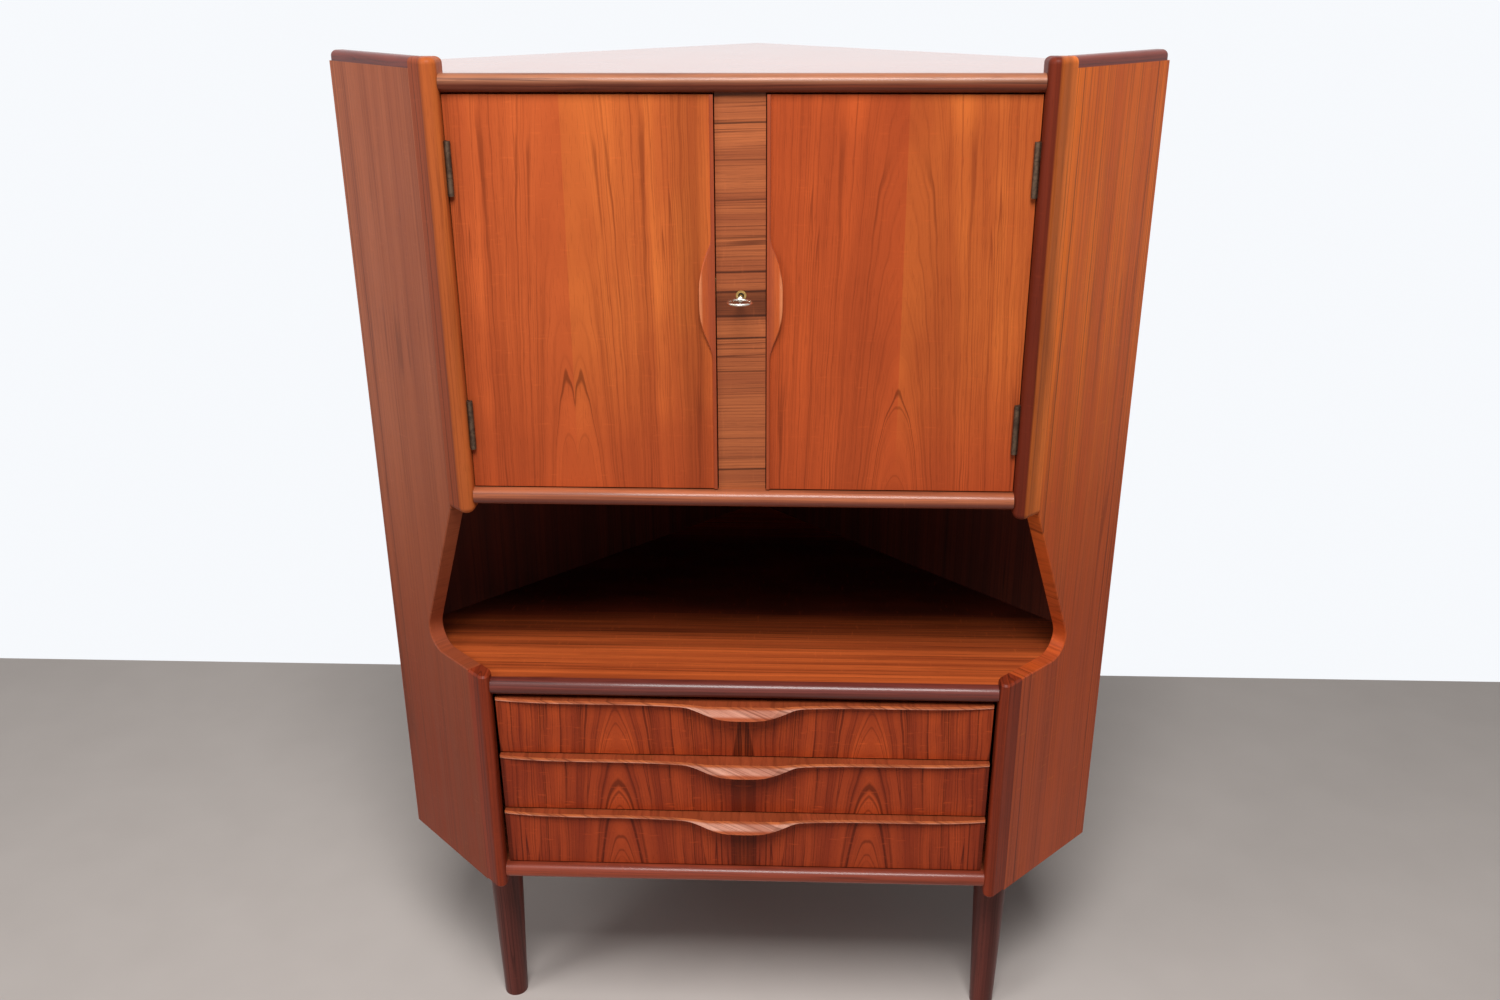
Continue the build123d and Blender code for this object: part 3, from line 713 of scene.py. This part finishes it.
# Hinges, lock and shelf pins: bronzed steel butts, a steel case and cam with brass bolts, a brass
# eyelet and brass pins, all tarnished and rubbed by use. Nickel is for the key, further down.
def worn_metal(name, bright, dull, roughness):
    """Old metal: dull in patches, rubbed brighter between them."""
    material, shader, place = new_material(name)
    x = along_direction(place, rightward)
    y = along_direction(place, rearward)
    z = along_direction(place, upward)
    tarnish = grain_noise(x * 160, y * 160, z * 160, detail=5.0, roughness=0.6)
    scratches = grain_noise(x * 900, y * 900, z * 120, detail=2.0)
    join(mixed(between(tarnish, 0.38, 0.66), bright, dull), shader, "Base Color")
    join(roughness + tarnish * 0.22 + scratches * 0.08, shader, "Roughness")
    inputs = {"Height": scratches, "Strength": 0.12, "Distance": 0.0001}
    join(scratches.node("ShaderNodeBump", {}, inputs), shader, "Normal")
    shader.inputs["Metallic"].default_value = 1.0
    return material


bronze = worn_metal("bronze", tint(104, 84, 68), tint(76, 60, 50), 0.46)
nickel = worn_metal("nickel", tint(226, 222, 212), tint(176, 168, 152), 0.10)
brass = worn_metal("brass", tint(206, 170, 104), tint(136, 104, 58), 0.26)
steel = worn_metal("steel", tint(150, 150, 150), tint(104, 102, 98), 0.34)
finish(bronze, "post_hinge_leaves", "hinge_pins")
finish(bronze, "left_door_hinge_leaves", "right_door_hinge_leaves")
finish(brass, "keyhole_eyelet", "left_lock_bolt", "right_lock_bolt", "shelf_pins")
finish(steel, "lock_case", "lock_cam")

# Key: a ring of round nickel wire, narrow at the neck and wide at its end, brazed into a collar
# on a turned shank with a flat bit. It lies flat while the doors are unlocked.
key_front, key_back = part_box("key")
key_height = (key_front[2] + key_back[2]) / 2
bow_length = 0.027
bow_half_width = 0.0155
bow_narrowing = 0.0035
bow_steps = 64
wire_radius = 0.0016
neck_y = key_front[1] + bow_length


def skin(mesh, loops, ring=False):
    """Surface over loops of equally many points, closed in a ring or capped at both ends."""
    rows = [[mesh.verts.new(point) for point in loop] for loop in loops]
    following = rows[1:] + rows[:1] if ring else rows[1:]
    for near, far in zip(rows, following):
        for step in range(len(near)):
            beside = (step + 1) % len(near)
            mesh.faces.new((near[step], near[beside], far[beside], far[step]))
    if not ring:
        mesh.faces.new(rows[0])
        mesh.faces.new(rows[-1])


def oval(half_width, half_height, power=2.0, count=32):
    """Points round a loop that goes from an ellipse at power 2 to nearly a rectangle above."""
    points = []
    for step in range(count):
        angle = 2 * pi * (step + 0.5) / count
        across = abs(cos(angle)) ** (2 / power) * (1 if cos(angle) > 0 else -1)
        above = abs(sin(angle)) ** (2 / power) * (1 if sin(angle) > 0 else -1)
        points.append((half_width * across, half_height * above))
    return points


def finished_mesh(name, mesh):
    """Built mesh with its normals outward and its arrises sharp."""
    bmesh.ops.recalc_face_normals(mesh, faces=mesh.faces)
    data = bpy.data.meshes.new(name)
    mesh.to_mesh(data)
    mesh.free()
    data.shade_smooth()
    data.set_sharp_from_angle(angle=0.6)
    return data


def placed(name, data, material, body):
    """Object from a mesh, riding on its body."""
    if not data.materials:
        data.materials.append(material)
    piece = bpy.data.objects.new(name, data)
    bpy.context.collection.objects.link(piece)
    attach(piece, body)
    return piece


key_mesh = bmesh.new()
bow = []
for step in range(bow_steps):
    angle = 2 * pi * step / bow_steps
    reach = (1 - cos(angle)) / 2
    half_width = bow_half_width - wire_radius - bow_narrowing * reach**2
    wire_y = key_front[1] + wire_radius + (bow_length - wire_radius) * reach
    wire_middle = Vector((half_width * sin(angle), wire_y, key_height))
    outward = Vector((sin(angle), -cos(angle), 0))
    section = [outward * a + Vector(upward) * b for a, b in oval(1, 1, count=16)]
    bow.append([wire_middle + wire_radius * point for point in section])
skin(key_mesh, bow, ring=True)
# Depths along the shank, from the collar to the bit, and its radius at each
shank = (
    (neck_y - 0.0014, 0.0012),
    (neck_y - 0.0006, 0.0026),
    (neck_y, 0.0033),
    (neck_y + 0.0004, 0.0034),
    (neck_y + 0.0026, 0.0034),
    (neck_y + 0.0030, 0.0031),
    (neck_y + 0.0031, 0.0020),
    (key_back[1] - 0.0004, 0.0020),
    (key_back[1], 0.0016),
)
skin(key_mesh, [[(a, y, key_height + b) for a, b in oval(r, r)] for y, r in shank])
bit_half_width = 0.0032
bit_half_height = 0.0007
bit_squareness = 8
bit_loops = []
for depth, scale in ((-0.0025, 0.9), (-0.0022, 1.0), (-0.0003, 1.0), (0.0, 0.9)):
    rim = oval(bit_half_width * scale, bit_half_height * scale, bit_squareness)
    bit_loops.append([(a, key_back[1] + depth, key_height + b) for a, b in rim])
skin(key_mesh, bit_loops)
nickel_key = placed("nickel_key", finished_mesh("nickel_key", key_mesh), nickel, "key")
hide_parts("key")

# Strike plates: thin brass with rounded ends, let onto the free edge of each door round the
# mortise that takes its bolt, and held by a screw above and below the hole.
mortise_y = front_y + 0.028
strikes = {"left_door": (-1, 1.1119), "right_door": (1, 1.0981)}
door_edge_x = 0.0295
# Height above the door's edge, half width, half height and squareness of each loop of a plate
strike_rims = (
    (-0.0002, 0.0056, 0.0130, 5),
    (0.0002, 0.0056, 0.0130, 5),
    (0.0003, 0.0054, 0.0128, 5),
    (0.0003, 0.0038, 0.0043, 12),
    (-0.0002, 0.0038, 0.0043, 12),
)
for door, (side, mortise_z) in strikes.items():
    strike_mesh = bmesh.new()
    loops = []
    for rise, rim_width, rim_height, squareness in strike_rims:
        rim = oval(rim_width, rim_height, squareness, count=48)
        x = side * (door_edge_x - rise)
        loops.append([(x, mortise_y + a, mortise_z + b) for a, b in rim])
    skin(strike_mesh, loops, ring=True)
    data = finished_mesh(f"{door}_strike", strike_mesh)
    placed(f"{door}_strike", data, brass, door)

# Screws: slotted, countersunk steel screws in the hinge leaves, the strike plates and the back
# plate of the lock, all but flush, each one stopped at its own angle.
head_mesh = bmesh.new()
slot_angle = 0.06 * pi
half_head_steps = 15
for side in (-1, 1):
    half_head = []
    for step in range(half_head_steps + 1):
        angle = slot_angle + (pi - 2 * slot_angle) * step / half_head_steps
        half_head.append((side * cos(angle), side * sin(angle)))
    layers = []
    for rise, scale in ((-0.05, 1.0), (0.03, 1.0), (0.05, 0.93)):
        shift = side * (1 - scale) / 2
        layers.append([(a * scale, b * scale + shift, rise) for a, b in half_head])
    skin(head_mesh, layers)
screw_head = bpy.data.objects.new("screw_head", finished_mesh("screw_head", head_mesh))
screw_tree = bpy.data.node_groups.new("screw_tree", "GeometryNodeTree")
tree_inputs = {}
for name, kind in (
    ("Places", "Geometry"),
    ("Screw", "Object"),
    ("Metal", "Material"),
    ("Largest turn", "Float"),
    ("Seed", "Int"),
):
    made = screw_tree.interface.new_socket(name, in_out="INPUT", socket_type=f"NodeSocket{kind}")
    tree_inputs[name] = made.identifier
screw_tree.interface.new_socket("Screws", in_out="OUTPUT", socket_type="NodeSocketGeometry")


def tree_node(kind, inputs=(), **settings):
    """Node of the screws' tree, with values or sockets led into its inputs."""
    made = screw_tree.nodes.new(kind)
    for name, value in settings.items():
        setattr(made, name, value)
    for name, value in inputs:
        socket = next(s for s in made.inputs if s.name == name and s.enabled)
        if isinstance(value, bpy.types.NodeSocket):
            screw_tree.links.new(value, socket)
        else:
            socket.default_value = value
    return next(s for s in made.outputs if s.enabled) if made.outputs else None


entry = screw_tree.nodes.new("NodeGroupInput")
points = tree_node("GeometryNodeMeshToPoints", [("Mesh", entry.outputs["Places"])])
named = "GeometryNodeInputNamedAttribute"
outlook = tree_node(named, [("Name", "facing")], data_type="FLOAT_VECTOR")
head_size = tree_node(named, [("Name", "head_radius")], data_type="FLOAT")
aimed = tree_node("FunctionNodeAlignRotationToVector", [("Vector", outlook)], axis="Z")
turn_range = [("Max", entry.outputs["Largest turn"]), ("Seed", entry.outputs["Seed"])]
chance = tree_node("FunctionNodeRandomValue", turn_range, data_type="FLOAT")
spin = tree_node("FunctionNodeAxisAngleToRotation", [("Axis", upward), ("Angle", chance)])
turns = [("Rotation", aimed), ("Rotate By", spin)]
rotation = tree_node("FunctionNodeRotateRotation", turns, rotation_space="LOCAL")
head = screw_tree.nodes.new("GeometryNodeObjectInfo")
screw_tree.links.new(entry.outputs["Screw"], head.inputs["Object"])
copying = [
    ("Points", points),
    ("Instance", head.outputs["Geometry"]),
    ("Rotation", rotation),
    ("Scale", head_size),
]
copies = tree_node("GeometryNodeInstanceOnPoints", copying)
real = tree_node("GeometryNodeRealizeInstances", [("Geometry", copies)])
metalled = [("Geometry", real), ("Material", entry.outputs["Metal"])]
finished = tree_node("GeometryNodeSetMaterial", metalled)
screw_tree.links.new(finished, screw_tree.nodes.new("NodeGroupOutput").inputs["Screws"])


def screws(body, spots):
    """One plain mesh of all the screws on a body, from their places, directions and radii."""
    data = bpy.data.meshes.new(f"{body}_screws")
    data.from_pydata([place for place, _, _ in spots], [], [])
    data.attributes.new("facing", "FLOAT_VECTOR", "POINT")
    data.attributes.new("head_radius", "FLOAT", "POINT")
    for number, (_, direction, radius) in enumerate(spots):
        data.attributes["facing"].data[number].vector = direction
        data.attributes["head_radius"].data[number].value = radius
    holder = bpy.data.objects.new(f"{body}_screw_places", data)
    bpy.context.collection.objects.link(holder)
    modifier = holder.modifiers.new("screws", "NODES")
    modifier.node_group = screw_tree
    modifier[tree_inputs["Screw"]] = screw_head
    modifier[tree_inputs["Metal"]] = steel
    modifier[tree_inputs["Largest turn"]] = 2 * pi
    modifier[tree_inputs["Seed"]] = len(spots)
    graph = bpy.context.evaluated_depsgraph_get()
    solid = bpy.data.meshes.new_from_object(holder.evaluated_get(graph))
    bpy.data.objects.remove(holder)
    placed(f"{body}_screws", solid, steel, body)


hinge_heights = (0.947, 1.247)
hinge_screw_radius = 0.0021
post_leaf_x = 0.32604
door_leaf_x = 0.32574


def hinge_spots(side, x, direction):
    """Three staggered screws in each of the two leaves on one side."""
    return [
        ((side * x, front_y + depth, height + rise), (direction, 0, 0), hinge_screw_radius)
        for height in hinge_heights
        for rise, depth in ((-0.021, 0.0250), (0.0, 0.0215), (0.021, 0.0250))
    ]


lock_plate_y = front_y + 0.0485
lock_screw_radius = 0.0022
lock_spots = [
    ((x, lock_plate_y, key_height + rise), rearward, lock_screw_radius)
    for x in (-0.025, 0.025)
    for rise in (-0.018, 0.018)
]
post_spots = hinge_spots(-1, post_leaf_x, 1) + hinge_spots(1, post_leaf_x, -1)
screws("carcass", post_spots + lock_spots)
strike_face_x = 0.0292
strike_screw_radius = 0.0016
for door, (side, mortise_z) in strikes.items():
    strike_spots = [
        ((side * strike_face_x, mortise_y, mortise_z + rise), (-side, 0, 0), strike_screw_radius)
        for rise in (-0.0088, 0.0088)
    ]
    screws(door, hinge_spots(side, door_leaf_x, side) + strike_spots)
bpy.data.objects.remove(screw_head)

# Stage: a pale floor that ends at the wall's foot, soft light from above and in front and from
# a window on the left, and the photograph's camera.
floor_mesh = bpy.data.meshes.new("floor")
floor_half_width = 5.0
floor_near = front_y - 3.5
floor_far = front_y + 1.1
floor_corners = [
    (-floor_half_width, floor_near, 0),
    (floor_half_width, floor_near, 0),
    (floor_half_width, floor_far, 0),
    (-floor_half_width, floor_far, 0),
]
floor_mesh.from_pydata(floor_corners, [], [(0, 1, 2, 3)])
floor = bpy.data.objects.new("floor", floor_mesh)
bpy.context.collection.objects.link(floor)
floor_material, floor_shader, floor_place = new_material("floor_paint")
floor_x = along_direction(floor_place, rightward)
floor_y = along_direction(floor_place, rearward)
mottle = grain_noise(floor_x * 9, floor_y * 9, 0.0)
join(mixed(mottle, tint(199, 190, 184), tint(191, 182, 176)), floor_shader, "Base Color")
floor_shader.inputs["Roughness"].default_value = 0.75
floor_mesh.materials.append(floor_material)

world = bpy.data.worlds.new("studio")
bpy.context.scene.world = world
world.use_nodes = True
sky = world.node_tree.nodes["Background"]
camera_ray, glossy_ray, clear_ray = (
    Shade(world).node("ShaderNodeLightPath", {}, {}, f"Is {kind} Ray")
    for kind in ("Camera", "Glossy", "Transmission")
)
glossy_or_clear = glossy_ray.math("MAXIMUM", glossy_ray, clear_ray)
seen = camera_ray.math("MAXIMUM", camera_ray, glossy_or_clear)
dim = 0.08
sky_strength = seen * (1 - dim) + dim
world.node_tree.links.new(sky_strength.socket, sky.inputs["Strength"])
sky.inputs["Color"].default_value = (0.93, 0.95, 0.98, 1)


def soft_lamp(name, place, target, size, watts):
    """Square soft box that faces a point."""
    lamp = bpy.data.lights.new(name, "AREA")
    lamp.size = size
    lamp.energy = watts
    holder = bpy.data.objects.new(name, lamp)
    holder.location = place
    aim = Vector(target) - Vector(place)
    holder.rotation_euler = aim.to_track_quat("-Z", "Y").to_euler()
    bpy.context.collection.objects.link(holder)


soft_lamp("ceiling_light", (0.1, -1.9, 3.3), (0.0, -0.3, 0.8), 1.3, 110)
soft_lamp("window_light", (-2.4, -1.9, 2.5), (0.0, -0.3, 0.9), 1.2, 30)

yaw, pitch, roll = -0.0373, 0.3867, -0.0027
forward = Vector((sin(yaw) * cos(pitch), cos(yaw) * cos(pitch), -sin(pitch)))
level = Vector((cos(yaw), -sin(yaw), 0))
upright = level.cross(forward)
right = level * cos(roll) + upright * sin(roll)
up = upright * cos(roll) - level * sin(roll)
camera_data = bpy.data.cameras.new("camera")
camera_data.sensor_width = 36
camera_data.lens = 31.25
camera = bpy.data.objects.new("camera", camera_data)
turn = Matrix((right, up, -forward)).transposed().to_4x4()
camera_place = (0.0644, front_y - 1.4526, 1.4508)
camera.matrix_world = Matrix.Translation(camera_place) @ turn
bpy.context.collection.objects.link(camera)
bpy.context.scene.camera = camera
bpy.context.scene.view_settings.view_transform = "Standard"
